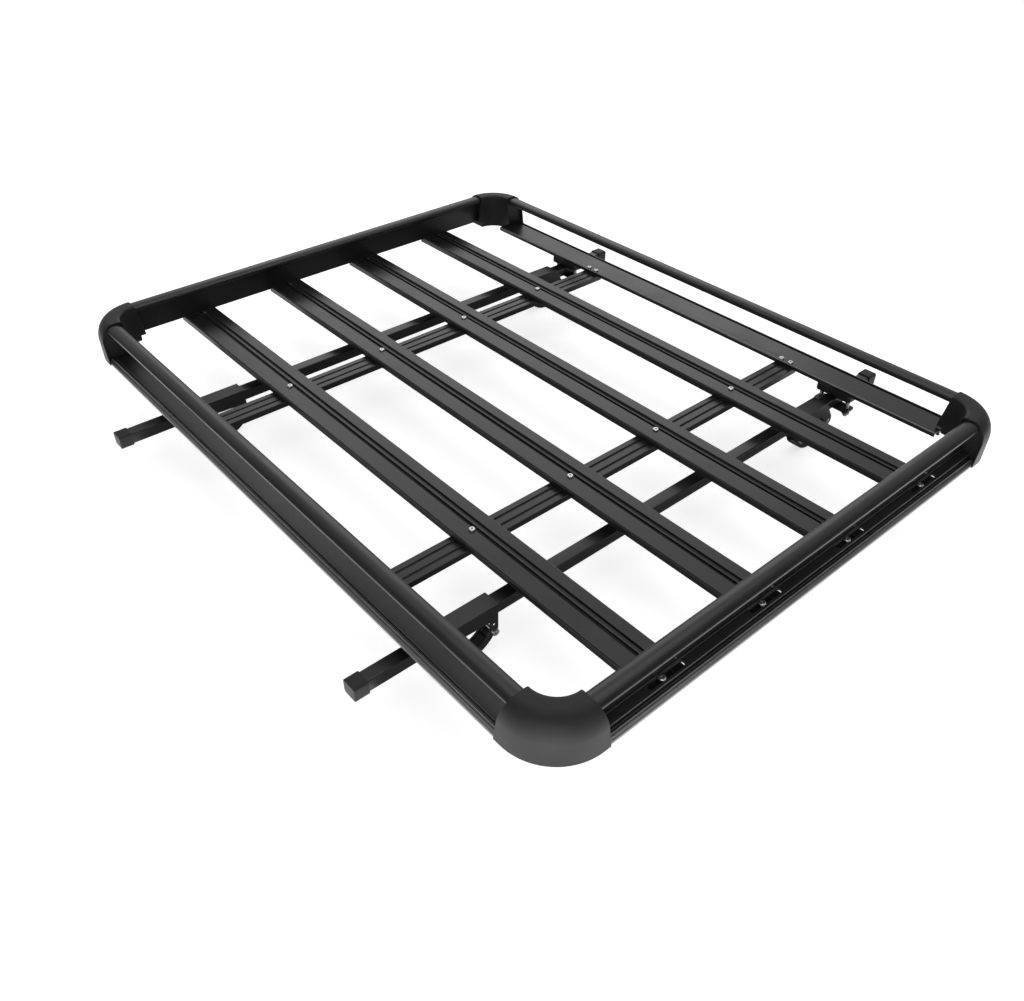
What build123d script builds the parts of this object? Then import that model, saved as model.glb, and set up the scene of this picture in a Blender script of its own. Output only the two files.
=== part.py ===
from build123d import *
import os

os.makedirs("parts", exist_ok=True)

# ---------------------------------------------------------------- driving dimensions, mm
# X runs along the vehicle (+X front), Y across it (+Y left), Z up.
# The origin is under the middle of the basket, level with the lowest point of the roof clamps.
LENGTH = 1270.0             # over the corner caps
WIDTH = 1000.0              # over the corner caps
RAIL_TOP = 167.0            # top of the oval upper rails
CAP_PROUD = 2.0             # corner caps stand this far outside the rails
CAP_RISE = 3.0              # and this far above them

RAIL_W = 28.0               # oval upper rail
RAIL_H = 15.0
RAIL_WALL = 2.0
RAIL_INSET = 27.0           # rail centre, inboard of the outermost face of the basket

SKIN = 2.5                  # general wall of the aluminium sections
SIDE_RAIL_DEPTH = 60.0      # top of the lower side rail, below RAIL_TOP
SIDE_RAIL_W = 62.0          # lower side rail, inner edge to outer lip
LIP_OUT = 6.0               # rounded lip at the foot of every side
LIP_ROUND = 3.0
RIDGE_W = 2.5               # thin ridge inboard of the lip
RIDGE_DROP = 58.5           # top of that ridge, below RAIL_TOP
FLOOR_DROP = 68.0           # underside of the slats, below RAIL_TOP

SLAT_W = 64.0
SLAT_H = 12.0
SLAT_PITCH = 193.0
SLAT_COUNT = 4
SLAT_END_GAP = 17.0         # slat end, inboard of the outermost face

CROSS_X = 251.0             # cross members, front and rear of the middle
CROSS_W = 40.0
CROSS_H = 11.0
CROSS_LEN = 898.0

BAR_X = 351.0               # roof crossbars, front and rear of the middle
BAR_W = 22.0
BAR_H = 20.0
BAR_WALL = 2.0
BAR_TOP_DROP = 88.5         # top of the crossbars, below RAIL_TOP
BAR_LEN = 1144.0
BAR_CAP_LEN = 20.0
BAR_CAP_WALL = 2.0          # end cap wall, and how far it stands past the bar

SADDLE_L = 70.0             # saddle block between lower side rail and crossbar
SADDLE_W = 26.0
SADDLE_PLATE = 4.0
SADDLE_BOLT_X = 27.0        # bolts, each side of the crossbar
SADDLE_BOLT_D = 8.0

CORNER_R = 84.0             # plan radius of the corner caps
CAP_WALL = 2.5
CAP_INNER = 44.0            # inner face of the cap, inboard of the outermost face
CAP_BULGE = RAIL_TOP - 30.0 # height of its widest line
CAP_END_LOW = 12.0          # straight end of the cap beyond its round part, at the foot
CAP_END_TOP = 0.5           # and at the top

CLAMP_LEN = 98.0            # roof clamp, along the crossbar
CLAMP_OUTER_Y = 442.0       # outboard end of the clamp
CLAMP_SHEET = 3.0
CLAMP_GAP = 0.4             # running gap between clamp and crossbar
LEVER_SHEET = 3.0
LEVER_GAP = 0.5             # side gap between lever and clamp cheeks
PAD_T = 2.0

BOLT_D = 6.0
HEAD_D = 10.0
HEAD_H = 3.0

ENDS = {"front": 1, "rear": -1}
SIDES = {"left": 1, "right": -1}

# ---------------------------------------------------------------- levels worked out from them
HALF_L = LENGTH / 2
HALF_W = WIDTH / 2
LIP_X = HALF_L - CAP_PROUD
LIP_Y = HALF_W - CAP_PROUD
RAIL_X = HALF_L - RAIL_INSET
RAIL_Y = HALF_W - RAIL_INSET
RAIL_Z = RAIL_TOP - RAIL_H / 2
FLOOR_Z = RAIL_TOP - FLOOR_DROP
SLAT_TOP = FLOOR_Z + SLAT_H
SIDE_TOP = RAIL_TOP - SIDE_RAIL_DEPTH
RIDGE_TOP = RAIL_TOP - RIDGE_DROP
CORNER_X = HALF_L - CORNER_R
CORNER_Y = HALF_W - CORNER_R
BAR_TOP = RAIL_TOP - BAR_TOP_DROP
BAR_BOTTOM = BAR_TOP - BAR_H
SIDE_INNER = LIP_Y - SIDE_RAIL_W
TRACK_Y = SIDE_INNER + SIDE_RAIL_W * 0.44       # bolt track under the lower side rail
TRACK_Z = FLOOR_Z - 5.0
TRACK_HALF = 7.6
TRACK_MOUTH = 4.5
LEDGE_TOP = SLAT_TOP + SKIN
WEB_X = RAIL_X - 5.0                            # inner face of the end rail's upright web
SLOT_X = WEB_X + 9.0                            # row of slots in the end rail's ledge
SLAT_HALF_L = HALF_L - SLAT_END_GAP
SLAT_YS = [(i - (SLAT_COUNT - 1) / 2) * SLAT_PITCH for i in range(SLAT_COUNT)]
SLAT_SCREW_DY = -7.0                            # screws stand on the wide strip of each slat


# ---------------------------------------------------------------- small helpers
def block(x0, x1, y0, y1, z0, z1):
    return Pos((x0 + x1) / 2, (y0 + y1) / 2, (z0 + z1) / 2) * Box(x1 - x0, y1 - y0, z1 - z0)


def along_x(points, x0, x1):
    """Extrude an outline of (y, z) points from x0 to x1."""
    return extrude_x(make_face(Polyline(*points, close=True)), x0, x1)


def extrude_x(section, x0, x1):
    return Pos(x0, 0, 0) * extrude(Plane.YZ * section, x1 - x0)


def along_y(points, y0, y1):
    """Extrude an outline of (x, z) points from y0 to y1."""
    face = Plane.XZ * make_face(Polyline(*points, close=True))
    return Pos(0, y1, 0) * extrude(face, y1 - y0)


def with_round_lip(points, lip):
    """The section with these corners, rounded at the shoulder of the lip, lip mm out."""
    section = make_face(Polyline(*points, close=True))
    shoulder = section.vertices().sort_by_distance((lip, SIDE_TOP - 3))[0]
    return fillet(shoulder, LIP_ROUND)


def upright(x, y, z0, z1, diameter):
    return Pos(x, y, (z0 + z1) / 2) * Cylinder(diameter / 2, z1 - z0)


def across(y, z, x0, x1, diameter):
    """A round bar along X."""
    return Pos((x0 + x1) / 2, y, z) * Rot(0, 90, 0) * Cylinder(diameter / 2, x1 - x0)


def pan_screw(x, y, z, shank):
    """A screw from above, its domed head on the face at z, with a hexagon socket."""
    head = Cylinder(HEAD_D / 2, HEAD_H)
    head = fillet(head.edges().sort_by(Axis.Z)[-1], HEAD_H * 0.6)
    socket = extrude(RegularPolygon(HEAD_D / 4.5, 6), HEAD_H)
    screw = Pos(x, y, z + HEAD_H / 2) * (head - socket)
    return screw + upright(x, y, z - shank, z + 0.5, BOLT_D)


def hexagon(x, y, z0, z1, across_flats):
    return Pos(x, y, z0) * extrude(RegularPolygon(across_flats / 3 ** 0.5, 6), z1 - z0)


def at_corner(shape, front, left):
    """Turn a front left part into the part for another corner."""
    if front < 0:
        shape = shape.mirror(Plane.YZ)
    if left < 0:
        shape = shape.mirror(Plane.XZ)
    return shape


def write(name, *shapes):
    """One STEP file; several shapes stay separate solids of one node."""
    solids = [solid for shape in shapes for solid in shape.solids()]
    body = solids[0] if len(solids) == 1 else Compound(children=solids)
    export_step(body, f"parts/{name}.step")


# ---------------------------------------------------------------- upper and lower rails
def oval(grow=0.0):
    return Ellipse(RAIL_W / 2 + grow, RAIL_H / 2 + grow)


def side_top_rail():
    """Oval tube between two corner caps."""
    ring = Plane.YZ * (oval() - oval(-RAIL_WALL))
    return Pos(-CORNER_X, RAIL_Y, RAIL_Z) * extrude(ring, 2 * CORNER_X)


def side_lower_rail():
    """Wide flat section with a groove, a ridge and a rounded lip, and a bolt track underneath."""
    ridge = LIP_Y - LIP_OUT
    plate = SIDE_TOP - SKIN
    groove = ridge - RIDGE_W
    section = [
        (SIDE_INNER, FLOOR_Z), (SIDE_INNER, SIDE_TOP - 1), (SIDE_INNER + 1, SIDE_TOP),
        (groove - 4, SIDE_TOP), (groove - 4, SIDE_TOP - 3.5), (groove, SIDE_TOP - 3.5),
        (groove, RIDGE_TOP), (ridge, RIDGE_TOP), (ridge, SIDE_TOP - 3), (ridge + 1, SIDE_TOP - 2),
        (LIP_Y, SIDE_TOP - 3), (LIP_Y, FLOOR_Z), (ridge + 2, FLOOR_Z),
        (groove, SIDE_TOP - 6), (groove - 6.5, SIDE_TOP - 6), (groove - 6.5, plate),
        (SIDE_INNER + SKIN, plate), (SIDE_INNER + SKIN, FLOOR_Z),
    ]
    rail = extrude_x(with_round_lip(section, LIP_Y), -CORNER_X, CORNER_X)
    for side in (-1, 1):
        wall = TRACK_Y + side * (TRACK_HALF + 1)
        lip = TRACK_Y + side * (TRACK_HALF + 2 + TRACK_MOUTH) / 2
        lip_half = (TRACK_HALF + 2 - TRACK_MOUTH) / 2
        rail += block(-CORNER_X, CORNER_X, wall - 1, wall + 1, TRACK_Z, plate + 0.5)
        rail += block(-CORNER_X, CORNER_X, lip - lip_half, lip + lip_half, TRACK_Z, TRACK_Z + 2)
    for end in ENDS.values():
        for x in (CROSS_X - CROSS_W / 4, CROSS_X + CROSS_W / 4):
            rail -= upright(end * x, SIDE_INNER + 6, plate - 1, SIDE_TOP + 1, BOLT_D + 0.6)
    return rail


def end_rail():
    """Front rail in one section: oval top, upright web, slotted ledge, ridge and rounded lip."""
    ridge = LIP_X - LIP_OUT
    groove = ridge - RIDGE_W
    web = RAIL_Z - 4
    bend = SLAT_HALF_L + 0.4
    skirt = [
        (WEB_X, web), (WEB_X, SLAT_TOP), (bend, SLAT_TOP), (bend, RIDGE_TOP - 6),
        (groove, RIDGE_TOP - 6), (ridge + 2, FLOOR_Z), (LIP_X, FLOOR_Z), (LIP_X, SIDE_TOP - 3),
        (ridge + 1, SIDE_TOP - 2), (ridge, SIDE_TOP - 3), (ridge, RIDGE_TOP), (groove, RIDGE_TOP),
        (groove, RIDGE_TOP - 3.5), (bend + SKIN, RIDGE_TOP - 3.5), (bend + SKIN, LEDGE_TOP),
        (WEB_X + SKIN, LEDGE_TOP), (WEB_X + SKIN, web),
    ]
    section = Pos(RAIL_X, RAIL_Z) * oval() + with_round_lip(skirt, LIP_X)
    section -= Pos(RAIL_X, RAIL_Z) * oval(-RAIL_WALL)
    rail = Pos(0, CORNER_Y, 0) * extrude(Plane.XZ * section, 2 * CORNER_Y)
    slot = extrude(SlotOverall(SLAT_W, BOLT_D + 2), SKIN + 2)
    for y in SLAT_YS:
        rail -= Pos(SLOT_X, y, SLAT_TOP - 1) * Rot(0, 0, 90) * slot
    return rail


# ---------------------------------------------------------------- corner caps
def cap_outside():
    """Edges of the cap's outer surface, from the foot of its inner wall over the top to its rim."""
    top = RAIL_TOP + CAP_RISE
    r = CORNER_R
    inner = r - CAP_INNER
    return [
        Bezier((inner, top - 5), (inner, top - 1), (inner + 4, top), (inner + 9, top)),
        Line((inner + 9, top), (r - 26, top)),
        Bezier((r - 26, top), (r - 10, top), (r, CAP_BULGE + 16), (r, CAP_BULGE)),
        Line((r, CAP_BULGE), (r - 0.2, FLOOR_Z)),
    ]


def cap_shell(foot):
    """Section of the cap's shell, its inner wall reaching down to foot."""
    skin_top = RAIL_TOP + CAP_RISE - CAP_WALL
    foot_inner = CAP_PROUD - 0.3
    r = CORNER_R
    inner = r - CAP_INNER
    wall = inner + 1.8
    return make_face([
        Line((inner, foot), (inner, skin_top + CAP_WALL - 5)),
        *cap_outside(),
        Line((r - 0.2, FLOOR_Z), (r - foot_inner, FLOOR_Z)),
        Line((r - foot_inner, FLOOR_Z), (r - CAP_WALL, CAP_BULGE)),
        Bezier((r - CAP_WALL, CAP_BULGE), (r - CAP_WALL, CAP_BULGE + 14.5),
               (r - 12, skin_top), (r - 26, skin_top)),
        Line((r - 26, skin_top), (inner + 9, skin_top)),
        Bezier((inner + 9, skin_top), (inner + 5, skin_top),
               (wall, skin_top - 1), (wall, skin_top - 3.5)),
        Line((wall, skin_top - 3.5), (wall, foot)),
        Line((wall, foot), (inner, foot)),
    ])


def corner_cap():
    """Moulded shell that turns the corner, closed by a web at each end of its round part,
    with a core and spigots for the oval rails."""
    top = RAIL_TOP + CAP_RISE
    r = CORNER_R
    inner = r - CAP_INNER
    mid = CAP_WALL / 2
    web = make_face([
        Line((inner + 0.9, FLOOR_Z), (inner + 0.9, top - 6)),
        Line((inner + 0.9, top - 6), (inner + 9, top - mid)),
        Line((inner + 9, top - mid), (r - 26, top - mid)),
        Bezier((r - 26, top - mid), (r - 11, top - mid), (r - mid, CAP_BULGE + 15), (r - mid, CAP_BULGE)),
        Line((r - mid, CAP_BULGE), (r - 1, FLOOR_Z)),
        Line((r - 1, FLOOR_Z), (inner + 0.9, FLOOR_Z)),
    ])
    end = cap_shell(SIDE_TOP + 2)
    cap = revolve(Plane.XZ * cap_shell(FLOOR_Z), Axis.Z, 90)
    cap += extrude(Plane.XZ * end, CAP_END_LOW)
    cap += Pos(-CAP_END_LOW, 0, 0) * extrude(Plane.YZ * end, CAP_END_LOW)
    cap += Pos(0, CAP_WALL, 0) * extrude(Plane.XZ * web, CAP_WALL)
    cap += extrude(Plane.YZ * web, CAP_WALL)
    slope = [(-CAP_END_TOP, top + 1), (-CAP_END_LOW, FLOOR_Z - 1), (-60, FLOOR_Z - 1), (-60, top + 1)]
    cap -= along_x(slope, 1, r + 1)
    cap -= along_y(slope, 1, r + 1)
    rail_r = r - RAIL_INSET
    core = revolve(Pos(rail_r, 0, RAIL_Z) * (Plane.XZ * oval(1.0)), Axis.Z, 90)
    plug = Ellipse(RAIL_W / 2 - RAIL_WALL - 0.2, RAIL_H / 2 - RAIL_WALL - 0.2)
    cap += core
    cap += Pos(rail_r, 0, RAIL_Z) * extrude(Plane.XZ * plug, 30)
    cap += Pos(-30, rail_r, RAIL_Z) * extrude(Plane.YZ * plug, 30)
    return Pos(CORNER_X, CORNER_Y, 0) * cap


# ---------------------------------------------------------------- floor
def floor_slat(y):
    """Hollow extrusion: a wide strip, a groove, a thin rib, a second groove, a narrow strip."""
    low, half = FLOOR_Z, SLAT_W / 2
    top = SLAT_TOP
    section = [
        (y - half, low), (y - half, top - 2), (y - half + 2, top),
        (y - 3, top), (y - 3, top - 5), (y + 3, top - 5), (y + 3, top - 1), (y + 5.5, top - 1),
        (y + 5.5, top - 4), (y + 11, top - 4), (y + 12.5, top), (y + half - 1, top),
        (y + half, top - 1), (y + half, low),
    ]
    slat = along_x(section, -SLAT_HALF_L, SLAT_HALF_L)
    slat -= block(-HALF_L, HALF_L, y - half + 2, y - 5.5, low + 2, top - 2.2)
    slat -= block(-HALF_L, HALF_L, y - 3.5, y + 10.5, low + 2, top - 6.2)
    slat -= block(-HALF_L, HALF_L, y + 14.5, y + half - 2, low + 2, top - 2.2)
    for end in ENDS.values():
        slat -= upright(end * SLOT_X, y + SLAT_SCREW_DY, low - 1, top + 1, BOLT_D)
        slat -= upright(end * CROSS_X, y + SLAT_SCREW_DY, low - 1, top + 1, BOLT_D)
    return slat


def cross_member():
    """Grooved hollow extrusion under the slats."""
    half = CROSS_W / 2
    top, low = FLOOR_Z, FLOOR_Z - CROSS_H
    section = [(CROSS_X - half, low), (CROSS_X - half, top)]
    for x in (-10.0, 6.0):
        section += [(CROSS_X + x, top), (CROSS_X + x, top - 2.5),
                    (CROSS_X + x + 4, top - 2.5), (CROSS_X + x + 4, top)]
    section += [(CROSS_X + half, top), (CROSS_X + half, low)]
    member = along_y(section, -CROSS_LEN / 2, CROSS_LEN / 2)
    member -= block(CROSS_X - half + 2, CROSS_X + half - 2, -HALF_W, HALF_W, low + 2, top - 4.5)
    for y in SLAT_YS:
        member -= upright(CROSS_X, y + SLAT_SCREW_DY, low - 1, top + 1, BOLT_D)
    for side in SIDES.values():
        for x in (CROSS_X - CROSS_W / 4, CROSS_X + CROSS_W / 4):
            member -= upright(x, side * (SIDE_INNER + 6), low - 1, top + 1, BOLT_D)
    return member


# ---------------------------------------------------------------- crossbars and saddles
def crossbar():
    outer = RectangleRounded(BAR_W, BAR_H, 2.5)
    inner = RectangleRounded(BAR_W - 2 * BAR_WALL, BAR_H - 2 * BAR_WALL, 1.0)
    tube = extrude(Plane.XZ * (outer - inner), BAR_LEN)
    return Pos(BAR_X, BAR_LEN / 2, (BAR_TOP + BAR_BOTTOM) / 2) * tube


def crossbar_cap():
    """Push-on end cap: a sleeve over the bar, a closed end and a plug inside."""
    grow = 2 * BAR_CAP_WALL
    length = BAR_CAP_LEN + BAR_CAP_WALL
    plug_w = BAR_W - 2 * BAR_WALL - 0.2
    plug_h = BAR_H - 2 * BAR_WALL - 0.2
    cap = extrude(Plane.XZ * RectangleRounded(BAR_W + grow, BAR_H + grow, 4.0), length)
    cap = fillet(cap.edges().group_by(Axis.Y)[-1], 1.5)
    socket = extrude(Plane.XZ * RectangleRounded(BAR_W + 0.1, BAR_H + 0.1, 2.5), length)
    plug = extrude(Plane.XZ * RectangleRounded(plug_w, plug_h, 1.0), BAR_CAP_LEN)
    cap = Pos(0, BAR_CAP_WALL, 0) * cap - socket + Pos(0, 0.5, 0) * plug
    return Pos(BAR_X, BAR_LEN / 2, (BAR_TOP + BAR_BOTTOM) / 2) * cap


def saddle_block():
    """Block that stands between the bolt track and the crossbar, notched over the bar."""
    y0, y1 = TRACK_Y - SADDLE_W / 2, TRACK_Y + SADDLE_W / 2
    half = SADDLE_L / 2
    saddle = block(BAR_X - half, BAR_X + half, y0, y1, BAR_TOP - 2, TRACK_Z)
    saddle = chamfer(saddle.edges().filter_by(Axis.Z), 4)
    saddle -= block(BAR_X - BAR_W / 2 - 0.1, BAR_X + BAR_W / 2 + 0.1, y0 - 1, y1 + 1,
                    BAR_TOP - 3, BAR_TOP)
    for side in (-1, 1):
        x = BAR_X + side * SADDLE_BOLT_X
        saddle -= upright(x, TRACK_Y, BAR_TOP - 3, TRACK_Z + 1, SADDLE_BOLT_D + 0.4)
    return saddle


def saddle_plate():
    """Plate under the crossbar that the two saddle bolts pull up."""
    y0, y1 = TRACK_Y - SADDLE_W / 2, TRACK_Y + SADDLE_W / 2
    half = SADDLE_L / 2
    plate = block(BAR_X - half, BAR_X + half, y0, y1, BAR_BOTTOM - SADDLE_PLATE, BAR_BOTTOM)
    plate = fillet(plate.edges().filter_by(Axis.Z), 5)
    for side in (-1, 1):
        x = BAR_X + side * SADDLE_BOLT_X
        plate -= upright(x, TRACK_Y, BAR_BOTTOM - 9, BAR_BOTTOM + 1, SADDLE_BOLT_D + 0.4)
    return plate


def saddle_bolts():
    """Hexagon heads in the bolt track, shanks down past the bar, nuts under the plate."""
    pieces = []
    under = BAR_BOTTOM - SADDLE_PLATE
    for side in (-1, 1):
        x = BAR_X + side * SADDLE_BOLT_X
        bolt = upright(x, TRACK_Y, under - 11, TRACK_Z + 3, SADDLE_BOLT_D)
        bolt += hexagon(x, TRACK_Y, TRACK_Z + 2, TRACK_Z + 6.5, 13)
        nut = hexagon(x, TRACK_Y, under - 6.5, under, 13)
        pieces += [bolt, nut - upright(x, TRACK_Y, under - 9, under + 1, SADDLE_BOLT_D)]
    return pieces


# ---------------------------------------------------------------- roof clamps
# Clamp coordinates: s runs outboard from the open end, d runs down from the top of the web.
CLAMP_Y0 = CLAMP_OUTER_Y - CLAMP_LEN
CLAMP_TOP = BAR_TOP + CLAMP_GAP + CLAMP_SHEET
CHEEK_IN = BAR_W / 2 + CLAMP_GAP
CHEEK_OUT = CHEEK_IN + CLAMP_SHEET
LEVER_HALF = CHEEK_IN - LEVER_GAP
HINGE_S, HINGE_D = 7.2, 49.0
SPARE_HOLE_D = 37.0
SCREW_S = 86.0
BARREL_D = 42.0
JAW_FROM = (67.0, 29.6)                 # the jaw plate lies along this line of the throat
JAW_TO = (79.0, 43.0)
CLAMP_DEPTH = CLAMP_TOP                 # the levers reach down to z = 0
LEVER_FOOT_S = 47.65                    # lowest point of the lever's curve


def clamp_yz(s, d):
    return (CLAMP_Y0 + s, CLAMP_TOP - d)


def clamp_shape(edges, x0, x1):
    """Extrude a closed chain of edges drawn in clamp coordinates from x0 to x1."""
    face = Plane.YZ * make_face(edges)
    return Pos(x0, 0, 0) * extrude(face, x1 - x0)


def cheek_outline():
    """Side plate: straight web edge, sloping nose, hollowed throat, round lug for the hinge."""
    p = clamp_yz
    lug = 6.8
    return [
        Line(p(0, 0), p(72, 0)),
        Line(p(72, 0), p(93, 31)),
        ThreePointArc(p(93, 31), p(97, 40), p(96.5, 47)),
        ThreePointArc(p(96.5, 47), p(92, 52), p(85, 51)),
        Line(p(85, 51), p(79, 43)),
        Line(p(79, 43), p(66, 28.5)),
        ThreePointArc(p(66, 28.5), p(61, 26.2), p(55, 25.8)),
        Line(p(55, 25.8), p(17, 27.5)),
        ThreePointArc(p(17, 27.5), p(14.6, 28.5), p(13.5, 31)),
        Line(p(13.5, 31), p(HINGE_S + lug, HINGE_D)),
        ThreePointArc(p(HINGE_S + lug, HINGE_D), p(HINGE_S, HINGE_D + lug), p(HINGE_S - lug, HINGE_D)),
        Line(p(HINGE_S - lug, HINGE_D), p(0, 40)),
        Line(p(0, 40), p(0, 0)),
    ]


def roof_clamp_body():
    """Folded channel that slides on the crossbar, with a jaw plate across its throat."""
    body = None
    for side in (-1, 1):
        x0, x1 = sorted((side * CHEEK_IN, side * CHEEK_OUT))
        cheek = clamp_shape(cheek_outline(), BAR_X + x0, BAR_X + x1)
        for d in (HINGE_D, SPARE_HOLE_D):
            y, z = clamp_yz(HINGE_S, d)
            cheek -= across(y, z, BAR_X + x0 - 1, BAR_X + x1 + 1, BOLT_D + 0.1)
        y, z = clamp_yz(SCREW_S, BARREL_D)
        cheek -= across(y, z, BAR_X + x0 - 1, BAR_X + x1 + 1, 9.1)
        body = cheek if body is None else body + cheek
    y0, z1 = clamp_yz(0, 0)
    body += block(BAR_X - CHEEK_OUT, BAR_X + CHEEK_OUT, y0, y0 + 72, z1 - CLAMP_SHEET, z1)
    body += jaw_strip(-CLAMP_SHEET, 0, CHEEK_IN + 0.5)
    return body


def jaw_strip(near, far, half):
    """A flat strip across the throat, from near to far on the open side of the jaw line."""
    (s0, d0), (s1, d1) = JAW_FROM, JAW_TO
    run = ((s1 - s0) ** 2 + (d1 - d0) ** 2) ** 0.5
    ns, nd = -(d1 - d0) / run, (s1 - s0) / run
    ends = [(s0 + ns * near, d0 + nd * near), (s1 + ns * near, d1 + nd * near),
            (s1 + ns * far, d1 + nd * far), (s0 + ns * far, d0 + nd * far)]
    return along_x([clamp_yz(s, d) for s, d in ends], BAR_X - half, BAR_X + half)


def jaw_pad():
    return jaw_strip(0, PAD_T, CHEEK_IN + 0.5)


def lever_outline():
    """Curved arm from the hinge lug, round the foot and up to a rounded finger."""
    p = clamp_yz
    h, d = HINGE_S, HINGE_D
    return [
        ThreePointArc(p(h - 5.4, d + 3), p(h - 4.2, d - 4.2), p(h + 3, d - 5.4)),
        Line(p(h + 3, d - 5.4), p(h + 8, d + 6)),
        ThreePointArc(p(h + 8, d + 6), p(40, 70), p(70, 59.5)),
        Line(p(70, 59.5), p(94, 55)),
        ThreePointArc(p(94, 55), p(99.4, 56.5), p(99, 61)),
        Line(p(99, 61), p(82, 69)),
        ThreePointArc(p(82, 69), p(LEVER_FOOT_S, CLAMP_DEPTH), p(h - 2, d + 11)),
        Line(p(h - 2, d + 11), p(h - 5.4, d + 3)),
    ]


def trough_floor(lift=0.0):
    """Ends and middle of the arc along the bottom of the lever's trough, in clamp coordinates."""
    low = CLAMP_DEPTH - LEVER_SHEET - 2
    return (80, 65 - lift), (42, low - lift), (HINGE_S + 3, HINGE_D + 10 - lift)


def clamp_lever():
    """Channel section arm: two flanges joined by a curved back, with a slot for the screw."""
    lever = clamp_shape(lever_outline(), BAR_X - LEVER_HALF, BAR_X + LEVER_HALF)
    hollow = LEVER_HALF - LEVER_SHEET
    p = clamp_yz
    h = HINGE_S
    outboard, middle, inboard = trough_floor()
    trough = [
        Line(p(h - 12, HINGE_D - 8), p(h + 12, HINGE_D - 12)),
        Line(p(h + 12, HINGE_D - 12), p(105, 40)),
        Line(p(105, 40), p(105, 62)),
        Line(p(105, 62), p(*outboard)),
        ThreePointArc(p(*outboard), p(*middle), p(*inboard)),
        Line(p(*inboard), p(h - 12, HINGE_D + 8)),
        Line(p(h - 12, HINGE_D + 8), p(h - 12, HINGE_D - 8)),
    ]
    lever -= clamp_shape(trough, BAR_X - hollow, BAR_X + hollow)
    y, z = p(h, HINGE_D)
    lever -= across(y, z, BAR_X - 20, BAR_X + 20, BOLT_D + 0.1)
    y, z = p(SCREW_S - 1.5, 68)
    slot = extrude(SlotOverall(22, BOLT_D + 1.4), 30)
    return lever - Pos(BAR_X, y, z - 15) * Rot(0, 0, 90) * slot


def lever_liner():
    """Rubber liner lying in the lever's trough."""
    p = clamp_yz
    low, high = trough_floor(0.05), trough_floor(PAD_T + 2)
    outline = [
        ThreePointArc(p(*low[0]), p(*low[1]), p(*low[2])),
        Line(p(*low[2]), p(*high[2])),
        ThreePointArc(p(*high[2]), p(*high[1]), p(*high[0])),
        Line(p(*high[0]), p(*low[0])),
    ]
    half = LEVER_HALF - LEVER_SHEET - 0.2
    liner = clamp_shape(outline, BAR_X - half, BAR_X + half)
    y0, y1 = CLAMP_Y0 + 17, CLAMP_Y0 + 70
    return liner & block(BAR_X - half, BAR_X + half, y0, y1, 0, CLAMP_TOP)


def clamp_hardware():
    """Hinge bolt with its nut, and the barrel nut that takes the tightening screw."""
    y, z = clamp_yz(HINGE_S, HINGE_D)
    reach = CHEEK_OUT
    bolt = across(y, z, BAR_X - reach - 7, BAR_X + reach + 0.5, BOLT_D)
    head = Pos(BAR_X + reach + 2, y, z) * Rot(0, 90, 0) * Cylinder(5.5, 4)
    head -= Pos(BAR_X + reach + 2, y, z) * Rot(0, 90, 0) * extrude(RegularPolygon(2.6, 6), 4)
    nut = Pos(BAR_X - reach - 5, y, z) * Rot(0, 90, 0) * extrude(RegularPolygon(5.77, 6), 5)
    nut -= across(y, z, BAR_X - reach - 8, BAR_X - reach + 1, BOLT_D)
    y, z = clamp_yz(SCREW_S, BARREL_D)
    barrel = across(y, z, BAR_X - CHEEK_OUT - 1, BAR_X + CHEEK_OUT + 1, 9.0)
    barrel -= upright(BAR_X, y, z - 8, z + 8, BOLT_D + 0.14)
    return [bolt + head, nut, barrel]


def tightening_screw():
    """Socket screw from under the lever's finger up into the barrel nut."""
    y, z_head = clamp_yz(SCREW_S, 70.7)
    z_tip = clamp_yz(SCREW_S, 25.5)[1]
    screw = upright(BAR_X, y, z_head - 1, z_tip, BOLT_D)
    screw += upright(BAR_X, y, z_head - 1.6, z_head, 13)
    screw += upright(BAR_X, y, z_head - 7, z_head - 1.6, 10)
    return screw - Pos(BAR_X, y, z_head - 7.5) * extrude(RegularPolygon(2.9, 6), 4)


# ---------------------------------------------------------------- write every node
for side_name, left in SIDES.items():
    write(f"side_top_rail_{side_name}", at_corner(side_top_rail(), 1, left))
    write(f"side_lower_rail_{side_name}", at_corner(side_lower_rail(), 1, left))

for end_name, front in ENDS.items():
    write(f"end_rail_{end_name}", at_corner(end_rail(), front, 1))
    write(f"cross_member_{end_name}", at_corner(cross_member(), front, 1))
    write(f"crossbar_{end_name}", at_corner(crossbar(), front, 1))

for number, slat_y in enumerate(SLAT_YS, 1):
    write(f"floor_slat_{number}", floor_slat(slat_y))

saddle_plates, bolts = [], []
for end_name, front in ENDS.items():
    for side_name, left in SIDES.items():
        corner = f"{end_name}_{side_name}"
        write(f"corner_cap_{corner}", at_corner(corner_cap(), front, left))
        write(f"crossbar_cap_{corner}", at_corner(crossbar_cap(), front, left))
        write(f"saddle_block_{corner}", at_corner(saddle_block(), front, left))
        write(f"clamp_body_{corner}", at_corner(roof_clamp_body(), front, left))
        write(f"clamp_jaw_pad_{corner}", at_corner(jaw_pad(), front, left))
        write(f"clamp_hardware_{corner}", *[at_corner(p, front, left) for p in clamp_hardware()])
        write(f"clamp_lever_{corner}", at_corner(clamp_lever(), front, left))
        write(f"lever_liner_{corner}", at_corner(lever_liner(), front, left))
        write(f"clamp_screw_{corner}", at_corner(tightening_screw(), front, left))
        saddle_plates.append(at_corner(saddle_plate(), front, left))
        bolts += [at_corner(piece, front, left) for piece in saddle_bolts()]
write("saddle_plates", *saddle_plates)
write("saddle_bolts", *bolts)

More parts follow.
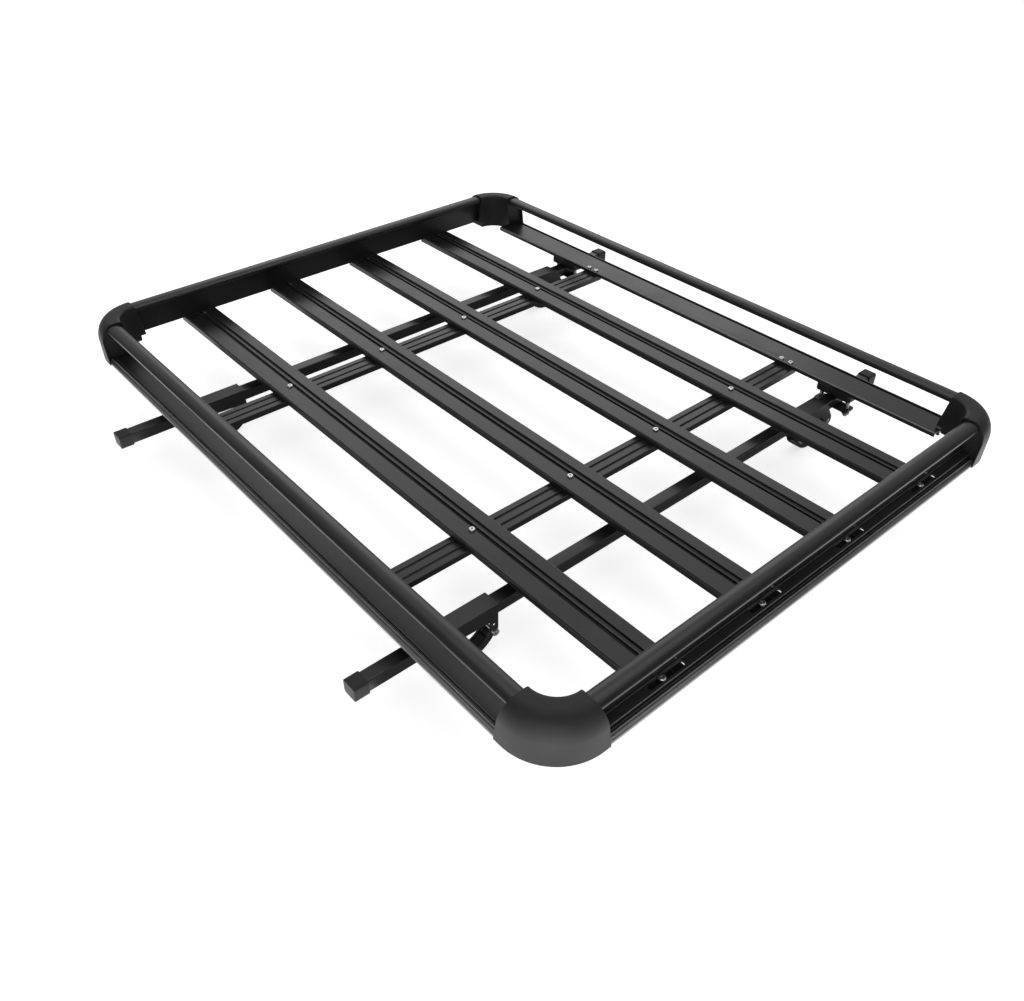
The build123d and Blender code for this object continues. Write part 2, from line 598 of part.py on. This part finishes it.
slat_end_screws, slat_screws, side_screws = [], [], []
for front in ENDS.values():
    for slat_y in SLAT_YS:
        screw_y = slat_y + SLAT_SCREW_DY
        slat_end_screws.append(pan_screw(front * SLOT_X, screw_y, LEDGE_TOP, SKIN + SLAT_H))
        slat_screws.append(pan_screw(front * CROSS_X, screw_y, SLAT_TOP, SLAT_H + CROSS_H))
    for left in SIDES.values():
        for x in (CROSS_X - CROSS_W / 4, CROSS_X + CROSS_W / 4):
            shank = SIDE_TOP - FLOOR_Z + CROSS_H
            side_screws.append(pan_screw(front * x, left * (SIDE_INNER + 6), SIDE_TOP, shank))
write("slat_end_screws", *slat_end_screws)
write("slat_screws", *slat_screws)
write("cross_member_screws", *side_screws)
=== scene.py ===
import math

import bpy
from mathutils import Matrix, Vector


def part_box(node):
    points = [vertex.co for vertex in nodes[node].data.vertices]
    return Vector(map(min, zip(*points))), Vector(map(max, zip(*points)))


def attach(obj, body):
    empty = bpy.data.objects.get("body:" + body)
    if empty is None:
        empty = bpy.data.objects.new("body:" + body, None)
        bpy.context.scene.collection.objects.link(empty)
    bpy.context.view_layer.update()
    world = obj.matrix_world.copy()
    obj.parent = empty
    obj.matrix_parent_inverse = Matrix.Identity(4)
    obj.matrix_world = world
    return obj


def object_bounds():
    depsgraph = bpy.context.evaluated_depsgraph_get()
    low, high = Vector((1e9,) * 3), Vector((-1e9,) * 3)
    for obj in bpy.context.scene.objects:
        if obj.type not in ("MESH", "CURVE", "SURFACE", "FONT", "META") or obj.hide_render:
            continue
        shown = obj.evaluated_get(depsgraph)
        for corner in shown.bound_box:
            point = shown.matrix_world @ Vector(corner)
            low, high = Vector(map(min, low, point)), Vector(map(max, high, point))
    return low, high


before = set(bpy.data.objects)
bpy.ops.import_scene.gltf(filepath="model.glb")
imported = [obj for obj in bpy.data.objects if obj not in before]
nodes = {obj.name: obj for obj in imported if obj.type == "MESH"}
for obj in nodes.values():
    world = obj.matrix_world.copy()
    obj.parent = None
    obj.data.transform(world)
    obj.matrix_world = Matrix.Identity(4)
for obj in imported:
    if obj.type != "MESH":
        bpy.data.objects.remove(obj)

cad_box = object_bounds()

# ---------------------------------------------------------------- camera and light, metres and degrees
CAMERA_AT = (1.048, -0.919, 0.980)
AZIMUTH, ELEVATION, ROLL = 48.8, 38.9, 0.5
LENS = 32.9
FLOOR_HALF = 30.0

# name, place, width and height, watts: each faces the middle of the basket
SOFTBOXES = [
    ("softbox_top", (0.2, 0.3, 3.2), (3.0, 3.0), 26.0),
    ("softbox_behind", (-2.5, 2.2, 2.1), (3.4, 1.9), 17.0),
    ("softbox_front", (2.2, -2.3, 0.75), (2.4, 1.0), 20.0),
]
# bright cards lying on the floor round the basket: name, middle, size, watts
CARDS = [
    ("card_near_side", (0.0, -1.02), (2.4, 1.0), 11.0),
    ("card_far_side", (0.0, 1.02), (2.4, 1.0), 5.0),
    ("card_near_end", (1.16, 0.0), (1.0, 2.4), 11.0),
    ("card_far_end", (-1.16, 0.0), (1.0, 2.4), 5.0),
]
CARD_Z = 0.002
# the sky is bright round one direction, and dim overhead and opposite
SKY_TOWARDS = (-0.70, 0.61, 0.37)
SKY = [(0.0, 0.14), (0.5, 0.16), (0.70, 0.22), (0.88, 0.50), (1.0, 0.66)]
FLOOR_GLOW = 0.72

# ---------------------------------------------------------------- finishes
EDGE_ROUND = 0.0007         # rounding of the edges of the aluminium sections
SHEET_ROUND = 0.0005        # and of bent and cut sheet steel
PLASTIC_ROUND = 0.0006
CREASE = math.radians(28)   # edges sharper than this are rounded
FLAT = math.radians(0.4)    # faces nearer in angle than this are joined first
WELD = 0.000004
LINE_SCALE, MOTTLE_SCALE, POWDER_SCALE = 900, 9, 2600
ROUGH_FROM_LINES, ROUGH_FROM_MOTTLE = 0.15, 0.85


def link(tree, source, target):
    tree.links.new(source, target)


def add(tree, kind, **settings):
    """A new node, with its plain settings and the inputs given by name."""
    made = tree.nodes.new("ShaderNode" + kind)
    for key, value in settings.pop("inputs", {}).items():
        made.inputs[key].default_value = value
    for key, value in settings.items():
        setattr(made, key, value)
    return made


CAP_GLOSS = 0.28
SOCKET_NAMES = {"specular_ior_level": "Specular IOR Level"}


def new_material(name, **uniform):
    """A material with its uniform values set on the shader's own sockets."""
    material = bpy.data.materials.new(name)
    material.use_nodes = True
    tree = material.node_tree
    shader = tree.nodes["Principled BSDF"]
    for key, value in uniform.items():
        shader.inputs[SOCKET_NAMES.get(key, key.capitalize())].default_value = value
    return material, tree, shader


def noise(tree, scale, stretch=(1, 1, 1), detail=2.0, roughness=0.5):
    """Noise in the part's own metres, stretched along an axis by a small factor there."""
    place = add(tree, "TexCoord")
    mapping = add(tree, "Mapping", inputs={"Scale": stretch})
    link(tree, place.outputs["Object"], mapping.inputs["Vector"])
    made = add(tree, "TexNoise", inputs={"Scale": scale, "Detail": detail, "Roughness": roughness})
    link(tree, mapping.outputs["Vector"], made.inputs["Vector"])
    return made.outputs["Fac"]


def spread(tree, value, low, high, start=0.3, end=0.7):
    """Maps a noise value to a range."""
    made = add(tree, "MapRange", inputs={
        "From Min": start, "From Max": end, "To Min": low, "To Max": high})
    link(tree, value, made.inputs["Value"])
    return made.outputs["Result"]


def blend_colours(tree, value, first, second):
    ramp = add(tree, "ValToRGB")
    ramp.color_ramp.elements[0].position = 0.3
    ramp.color_ramp.elements[1].position = 0.7
    ramp.color_ramp.elements[0].color = (*first, 1)
    ramp.color_ramp.elements[1].color = (*second, 1)
    link(tree, value, ramp.inputs["Fac"])
    return ramp.outputs["Color"]


def bumps(tree, shader, *layers):
    """Layers of bump, each (height value, strength, distance), coarse to fine."""
    normal = None
    for height, strength, distance in layers:
        bump = add(tree, "Bump", inputs={"Strength": strength, "Distance": distance})
        link(tree, height, bump.inputs["Height"])
        if normal:
            link(tree, normal, bump.inputs["Normal"])
        normal = bump.outputs["Normal"]
    link(tree, normal, shader.inputs["Normal"])


def coated_metal(name, dark, light, rough, along, grain=0.12, metallic=0.0):
    """Satin black coat: die lines along the section, mottling, fine grain."""
    material, tree, shader = new_material(name, metallic=metallic)
    stretch = [1.0, 1.0, 1.0]
    if along is not None:
        stretch[along] = 0.004
    lines = noise(tree, LINE_SCALE, stretch, detail=3)
    mottle = noise(tree, MOTTLE_SCALE, detail=4, roughness=0.6)
    powder = noise(tree, POWDER_SCALE, detail=1)
    link(tree, blend_colours(tree, mottle, dark, light), shader.inputs["Base Color"])
    mixed = add(tree, "Math", operation="MULTIPLY_ADD", inputs={1: ROUGH_FROM_LINES})
    link(tree, lines, mixed.inputs[0])
    softer = add(tree, "Math", operation="MULTIPLY", inputs={1: ROUGH_FROM_MOTTLE})
    link(tree, mottle, softer.inputs[0])
    link(tree, softer.outputs[0], mixed.inputs[2])
    link(tree, spread(tree, mixed.outputs[0], *rough), shader.inputs["Roughness"])
    bumps(tree, shader, (lines, 0.03, 0.00012), (powder, grain, 0.00008))
    return material


def worn_and_highlighted_edge(name, dark, light):
    """The rounded edges, where the coat is thinner and a little polished by handling, and lighter as a
    painted highlight along each edge.
    """
    material, tree, shader = new_material(name)
    patches = noise(tree, 60, detail=5, roughness=0.7)
    # painted highlight: the edge colour is lighter than the coat, partly wear and partly a painted edge
    # highlight
    link(tree, blend_colours(tree, patches, dark, light), shader.inputs["Base Color"])
    link(tree, spread(tree, patches, 0.34, 0.2), shader.inputs["Roughness"])
    bumps(tree, shader, (noise(tree, 1800), 0.08, 0.00008))
    return material


def grained_plastic(name, dark, light, rough):
    """Moulded plastic with a fine leathery spark-eroded grain."""
    material, tree, shader = new_material(name, specular_ior_level=CAP_GLOSS)
    place = add(tree, "TexCoord")
    cells = add(tree, "TexVoronoi", inputs={"Scale": 1500.0})
    link(tree, place.outputs["Object"], cells.inputs["Vector"])
    clouds = noise(tree, 14, detail=4)
    link(tree, blend_colours(tree, clouds, dark, light), shader.inputs["Base Color"])
    link(tree, spread(tree, clouds, *rough), shader.inputs["Roughness"])
    bumps(tree, shader, (cells.outputs["Distance"], 0.16, 0.00018), (noise(tree, 3200), 0.1, 0.0001))
    return material


def zinc(name):
    """Bright zinc plate: faint bluish patches and fine turning marks."""
    material, tree, shader = new_material(name, metallic=1.0)
    patches = noise(tree, 160, detail=3)
    link(tree, blend_colours(tree, patches, (0.66, 0.67, 0.70), (0.86, 0.86, 0.85)),
         shader.inputs["Base Color"])
    link(tree, spread(tree, patches, 0.2, 0.36), shader.inputs["Roughness"])
    bumps(tree, shader, (noise(tree, 1400, (1, 1, 0.2)), 0.15, 0.0001))
    return material


def rubber(name):
    material, tree, shader = new_material(name)
    clouds = noise(tree, 40, detail=4)
    link(tree, blend_colours(tree, clouds, (0.010, 0.010, 0.011), (0.020, 0.020, 0.021)),
         shader.inputs["Base Color"])
    link(tree, spread(tree, clouds, 0.62, 0.82), shader.inputs["Roughness"])
    bumps(tree, shader, (noise(tree, 900, detail=4), 0.3, 0.0002))
    return material


X_AXIS, Y_AXIS = 0, 1
COAT = ((0.011, 0.011, 0.0125), (0.019, 0.019, 0.021), (0.22, 0.36))
# painted sheen: the lip and the rounded edges of the lower rails and end rails are painted lighter,
# standing in for reflected floor light and edge highlights
LIP_SHEEN = ((0.20, 0.20, 0.203), (0.27, 0.27, 0.274), (0.30, 0.42))
LIP_METALLIC = 0.6
MATERIALS = {
    "coat_x": coated_metal("satin_coat_lengthwise", *COAT, X_AXIS),
    "coat_y": coated_metal("satin_coat_crosswise", *COAT, Y_AXIS),
    "sheet": coated_metal("powder_coated_sheet", (0.010, 0.010, 0.011), (0.017, 0.017, 0.018),
                          (0.30, 0.46), None, grain=0.3),
    # painted highlight: lighter rounded edges, partly wear and partly a painted highlight along each edge
    "edge": worn_and_highlighted_edge("worn_coat_edge_painted_highlight", (0.03, 0.03, 0.032), (0.075, 0.075, 0.078)),
    "lip_x": coated_metal("lip_painted_sheen_lengthwise", *LIP_SHEEN, X_AXIS, metallic=LIP_METALLIC),
    "lip_y": coated_metal("lip_painted_sheen_crosswise", *LIP_SHEEN, Y_AXIS, metallic=LIP_METALLIC),
    # painted light: the ledge coat is lighter to lift the shade under the oval rail
    "ledge": coated_metal("ledge_coat_painted_lighter", (0.038, 0.038, 0.041), (0.052, 0.052, 0.056),
                          (0.24, 0.36), Y_AXIS),
    "plastic": grained_plastic("grained_cap_plastic", (0.021, 0.021, 0.023),
                               (0.029, 0.029, 0.031), (0.44, 0.58)),
    # painted highlight: the rounded cap edges are lighter than the cap, partly polish and partly a
    # painted highlight
    "plastic_edge": grained_plastic("polished_cap_edge_painted_highlight", (0.026, 0.026, 0.028),
                                    (0.042, 0.042, 0.045), (0.38, 0.52)),
    "zinc": zinc("bright_zinc"),
    "rubber": rubber("matte_rubber"),
}

# start of node name, finish, finish of rounded edges, rounding
FINISHES = [
    ("side_top", "coat_x", "edge", EDGE_ROUND),
    ("side_", "coat_x", "lip_x", EDGE_ROUND),
    ("end_rail", "coat_y", "lip_y", EDGE_ROUND),
    ("floor_slat", "coat_x", "edge", EDGE_ROUND),
    ("cross_member_screws", "zinc", "zinc", 0),
    ("cross_member", "coat_y", "edge", EDGE_ROUND),
    ("crossbar_cap", "plastic", "plastic_edge", PLASTIC_ROUND),
    ("crossbar", "coat_y", "edge", SHEET_ROUND),
    ("corner_cap", "plastic", "plastic_edge", PLASTIC_ROUND),
    ("saddle_block", "plastic", "plastic_edge", PLASTIC_ROUND),
    ("saddle_plates", "sheet", "edge", SHEET_ROUND),
    ("clamp_body", "sheet", "edge", SHEET_ROUND),
    ("clamp_lever", "sheet", "edge", SHEET_ROUND),
    ("clamp_jaw_pad", "rubber", "rubber", SHEET_ROUND),
    ("lever_liner", "rubber", "rubber", SHEET_ROUND),
    ("", "zinc", "zinc", 0),
]


def dress(obj, finish, edge_finish, rounding):
    """Gives a CAD node its finish, smooth shading, and rounded edges by modifier."""
    obj.data.materials.clear()
    obj.data.materials.append(MATERIALS[finish])
    obj.data.materials.append(MATERIALS[edge_finish])
    if "custom_normal" in obj.data.attributes:
        obj.data.attributes.remove(obj.data.attributes["custom_normal"])
    obj.data.polygons.foreach_set("use_smooth", [True] * len(obj.data.polygons))
    weld = obj.modifiers.new("weld", "WELD")
    weld.merge_threshold = WELD
    if rounding:
        flat = obj.modifiers.new("flat faces", "DECIMATE")
        flat.decimate_type = "DISSOLVE"
        flat.angle_limit = FLAT
        bevel = obj.modifiers.new("rounded edges", "BEVEL")
        bevel.width = rounding
        bevel.segments = 2
        bevel.limit_method = "ANGLE"
        bevel.angle_limit = CREASE
        bevel.use_clamp_overlap = False
        bevel.material = 1
        bevel.harden_normals = True
    else:
        split = obj.modifiers.new("sharp edges", "EDGE_SPLIT")
        split.split_angle = CREASE


for node_name, obj in sorted(nodes.items()):
    start, *finish = next(row for row in FINISHES if node_name.startswith(row[0]))
    dress(obj, *finish)

# the lip at the foot of each side has the lighter finish of the rounded edges, a painted sheen standing
# in for the reflection of the bright floor
LIP_DEPTH, LIP_HEIGHT = 0.0064, 0.012
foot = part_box("end_rail_front")[0].z
for node_name, axis in (("side_lower_rail_left", Y_AXIS), ("side_lower_rail_right", Y_AXIS),
                        ("end_rail_front", X_AXIS), ("end_rail_rear", X_AXIS)):
    low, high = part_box(node_name)
    reach = max(abs(low[axis]), abs(high[axis]))
    for polygon in nodes[node_name].data.polygons:
        if abs(polygon.center[axis]) > reach - LIP_DEPTH and polygon.center.z < foot + LIP_HEIGHT:
            polygon.material_index = 1

# the slotted ledge lies in shade under the oval, so its coat is painted lighter, a painted fill light,
# for the slots to show
LEDGE_FROM, LEDGE_TO = 0.0125, 0.0155
for node_name in ("end_rail_front", "end_rail_rear"):
    rail = nodes[node_name].data
    rail.materials.append(MATERIALS["ledge"])
    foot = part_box(node_name)[0].z
    for polygon in rail.polygons:
        if polygon.normal.z > 0.9 and foot + LEDGE_FROM < polygon.center.z < foot + LEDGE_TO:
            polygon.material_index = 2


# ---------------------------------------------------------------- threads on the screws and bolts
TURN_STEPS = 28
RIDGE_ROOT, RIDGE_HALF = -0.0001, 0.46   # metres into the shank, and share of the pitch


def thread(name, x, y, low, high, radius, pitch, height, body):
    """A ridge of triangular section wound up an upright shank, run out to nothing at both ends."""
    turns = (high - low) / pitch - 1
    count = int(turns * TURN_STEPS)
    vertices, faces = [], []
    for i in range(count + 1):
        angle = 2 * math.pi * i / TURN_STEPS
        z = low + pitch / 2 + pitch * i / TURN_STEPS
        run_out = min(1.0, 2 * i / TURN_STEPS, 2 * (count - i) / TURN_STEPS)
        for out, up in ((RIDGE_ROOT, -RIDGE_HALF), (height * run_out, 0.0), (RIDGE_ROOT, RIDGE_HALF)):
            r = radius + out
            vertices.append((x + r * math.cos(angle), y + r * math.sin(angle), z + up * pitch))
    for i in range(count):
        a, b = 3 * i, 3 * i + 3
        for j in range(3):
            k = (j + 1) % 3
            faces.append((a + j, b + j, b + k, a + k))
    faces += [(0, 1, 2), (3 * count + 2, 3 * count + 1, 3 * count)]
    mesh = bpy.data.meshes.new(name)
    mesh.from_pydata(vertices, [], faces)
    mesh.materials.append(MATERIALS["zinc"])
    obj = bpy.data.objects.new(name, mesh)
    bpy.context.scene.collection.objects.link(obj)
    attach(obj, body)
    return obj


SCREW_R, SCREW_PITCH, SCREW_HEAD = 0.003, 0.001, 0.0072
RIDGE = 0.00032
BARREL = 0.009
BARREL_GAP, SCREW_END = 0.0005, 0.0006
for end in ("front", "rear"):
    for side in ("left", "right"):
        corner = f"{end}_{side}"
        low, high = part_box(f"clamp_screw_{corner}")
        barrel_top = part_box(f"clamp_hardware_{corner}")[1].z
        x, y = (low.x + high.x) / 2, (low.y + high.y) / 2
        body = f"screw_{corner}"
        thread(f"screw_thread_{corner}_lower", x, y, low.z + SCREW_HEAD, barrel_top - BARREL - BARREL_GAP,
               SCREW_R, SCREW_PITCH, RIDGE, body)
        thread(f"screw_thread_{corner}_upper", x, y, barrel_top + BARREL_GAP, high.z - SCREW_END,
               SCREW_R, SCREW_PITCH, RIDGE, body)

# ---------------------------------------------------------------- floor, light and camera
floor_mesh = bpy.data.meshes.new("floor")
floor_mesh.from_pydata([(-FLOOR_HALF, -FLOOR_HALF, 0), (FLOOR_HALF, -FLOOR_HALF, 0),
                        (FLOOR_HALF, FLOOR_HALF, 0), (-FLOOR_HALF, FLOOR_HALF, 0)], [], [(0, 1, 2, 3)])
floor = bpy.data.objects.new("floor", floor_mesh)
bpy.context.scene.collection.objects.link(floor)
floor_material, floor_tree, floor_shader = new_material("pale_floor", roughness=0.9)
floor_colour = blend_colours(floor_tree, noise(floor_tree, 1.5), (0.93, 0.93, 0.93), (0.95, 0.95, 0.95))
link(floor_tree, floor_colour, floor_shader.inputs["Base Color"])
floor_shader.inputs["Emission Color"].default_value = (1, 1, 1, 1)
floor_shader.inputs["Emission Strength"].default_value = FLOOR_GLOW
floor_mesh.materials.append(floor_material)
floor.visible_glossy = False
floor.visible_diffuse = False

world = bpy.data.worlds.new("studio")
bpy.context.scene.world = world
world.use_nodes = True
tree = world.node_tree
background = tree.nodes["Background"]
place = add(tree, "TexCoord")
towards = add(tree, "VectorMath", operation="DOT_PRODUCT")
towards.inputs[1].default_value = SKY_TOWARDS
link(tree, place.outputs["Generated"], towards.inputs[0])
facing = add(tree, "MapRange", inputs={"From Min": -1.0, "From Max": 1.0})
link(tree, towards.outputs["Value"], facing.inputs["Value"])
ramp = add(tree, "ValToRGB")
for index, (position, value) in enumerate(SKY):
    element = ramp.color_ramp.elements[index] if index < 2 else ramp.color_ramp.elements.new(position)
    element.position = position
    element.color = (value, value, value, 1)
link(tree, facing.outputs["Result"], ramp.inputs["Fac"])
link(tree, ramp.outputs["Color"], background.inputs["Color"])
backdrop = add(tree, "Background", inputs={"Color": (1, 1, 1, 1), "Strength": 1.0})
seen = add(tree, "LightPath")
choose = add(tree, "MixShader")
link(tree, seen.outputs["Is Camera Ray"], choose.inputs["Fac"])
link(tree, background.outputs[0], choose.inputs[1])
link(tree, backdrop.outputs[0], choose.inputs[2])
link(tree, choose.outputs[0], tree.nodes["World Output"].inputs["Surface"])

middle = (cad_box[0] + cad_box[1]) / 2


def area_light(name, place, size, watts, facing):
    """A rectangular light that the camera doesn't see, shining along facing."""
    lamp = bpy.data.lights.new(name, "AREA")
    lamp.shape = "RECTANGLE"
    lamp.size, lamp.size_y = size
    lamp.energy = watts
    lamp_obj = bpy.data.objects.new(name, lamp)
    lamp_obj.location = place
    lamp_obj.rotation_euler = (-facing).to_track_quat("Z", "Y").to_euler()
    lamp_obj.visible_camera = False
    bpy.context.scene.collection.objects.link(lamp_obj)


for name, place, size, watts in SOFTBOXES:
    area_light(name, place, size, watts, middle - Vector(place))
for name, place, size, watts in CARDS:
    area_light(name, (*place, CARD_Z), size, watts, Vector((0, 0, 1)))

camera = bpy.data.cameras.new("camera")
camera.lens = LENS
camera.sensor_width = 36.0
camera.clip_start, camera.clip_end = 0.01, 100.0
camera_obj = bpy.data.objects.new("camera", camera)
turn = (Matrix.Rotation(math.radians(AZIMUTH), 4, "Z")
        @ Matrix.Rotation(math.radians(90 - ELEVATION), 4, "X")
        @ Matrix.Rotation(math.radians(ROLL), 4, "Z"))
camera_obj.matrix_world = Matrix.Translation(CAMERA_AT) @ turn
bpy.context.scene.collection.objects.link(camera_obj)
bpy.context.scene.camera = camera_obj
bpy.context.scene.view_settings.view_transform = "Standard"
